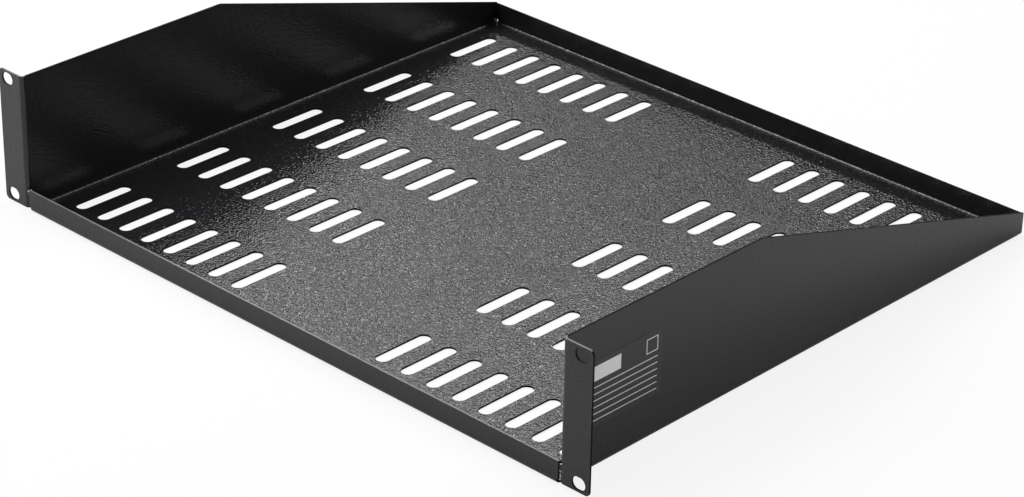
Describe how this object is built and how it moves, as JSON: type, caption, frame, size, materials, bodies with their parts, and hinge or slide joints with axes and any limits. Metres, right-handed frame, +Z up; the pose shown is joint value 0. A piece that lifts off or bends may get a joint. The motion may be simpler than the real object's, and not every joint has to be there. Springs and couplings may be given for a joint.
{
  "type": "rack shelf",
  "caption": "Vented rack shelf: a slotted tray folded from steel sheet, with side walls that slope to the rear, low lips at front and rear, and slotted rack ears.",
  "frame": {"origin": "middle of the underside: half way across the shelf and half way along its depth, at the level of the floor's lower face", "axes": "+X to the right seen from the front, +Y to the rear, +Z up; the ears and the front lip face -Y"},
  "size_m": [0.4806, 0.405, 0.0885],
  "materials": {
    "powder_coat": "black powder coat, semi-gloss with a fine leathery texture",
    "label_film": "satin black self-adhesive film"
  },
  "bodies": {
    "root": {"shelf_tray": "powder_coat"}
  },
  "joints": []
}
